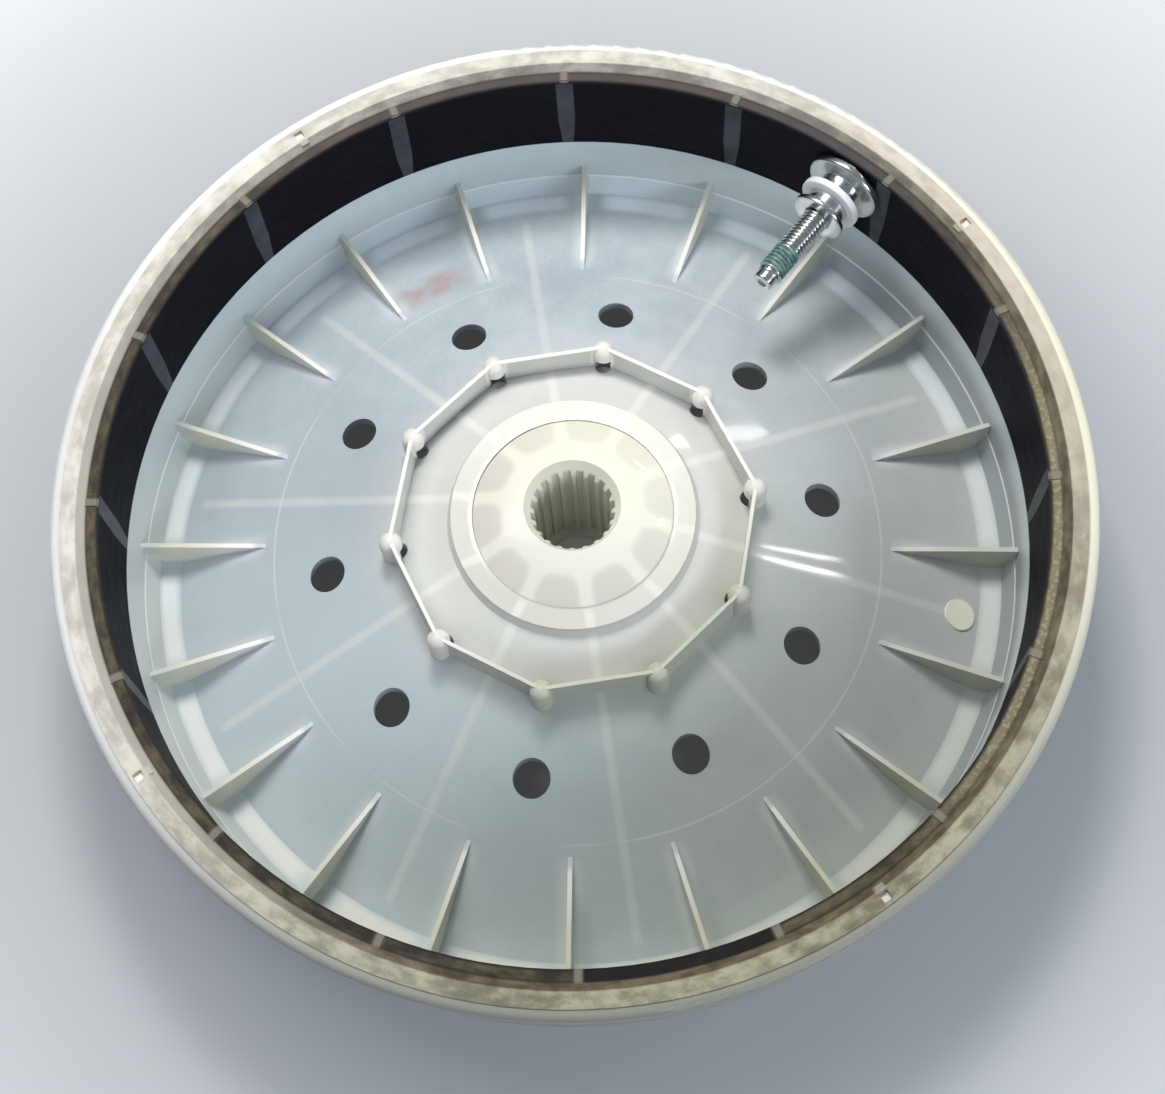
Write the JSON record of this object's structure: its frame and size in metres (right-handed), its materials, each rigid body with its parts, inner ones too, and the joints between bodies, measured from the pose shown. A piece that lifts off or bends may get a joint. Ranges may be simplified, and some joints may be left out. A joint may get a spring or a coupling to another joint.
{
  "type": "washing machine motor rotor",
  "caption": "Dished plastic rotor of a direct-drive washing machine motor, with arc magnets inside its rim, a splined hub, stiffening ribs and its fixing bolt held on a magnet.",
  "frame": {"origin": "centre of the bore in the plane of the back face, on which the rotor lies", "axes": "+Z along the bore, from the back face to the open side with the magnets; +X through the middle of one of the large holes"},
  "size_m": [0.28, 0.28, 0.0615],
  "materials": {
    "body": "off-white glass-filled plastic, slightly see-through, satin as moulded",
    "ring": "bare rolled steel strip, almost all hidden in the rim",
    "magnet": "dark grey sintered ferrite, smooth with a dull shine",
    "bolt": "bright zinc-plated steel, with a patch of thread-locking compound",
    "nylon": "white nylon, satin",
    "washer": "zinc-plated steel, dull"
  },
  "bodies": {
    "root": {"rotor_body": "body", "backing_ring": "ring", "magnet_01": "magnet", "magnet_02": "magnet", "magnet_03": "magnet", "magnet_04": "magnet", "magnet_05": "magnet", "magnet_06": "magnet", "magnet_07": "magnet", "magnet_08": "magnet", "magnet_09": "magnet", "magnet_10": "magnet", "magnet_11": "magnet", "magnet_12": "magnet", "magnet_13": "magnet", "magnet_14": "magnet", "magnet_15": "magnet", "magnet_16": "magnet", "fixing_bolt": "bolt", "nylon_washer": "nylon", "steel_washer": "washer"}
  },
  "joints": []
}
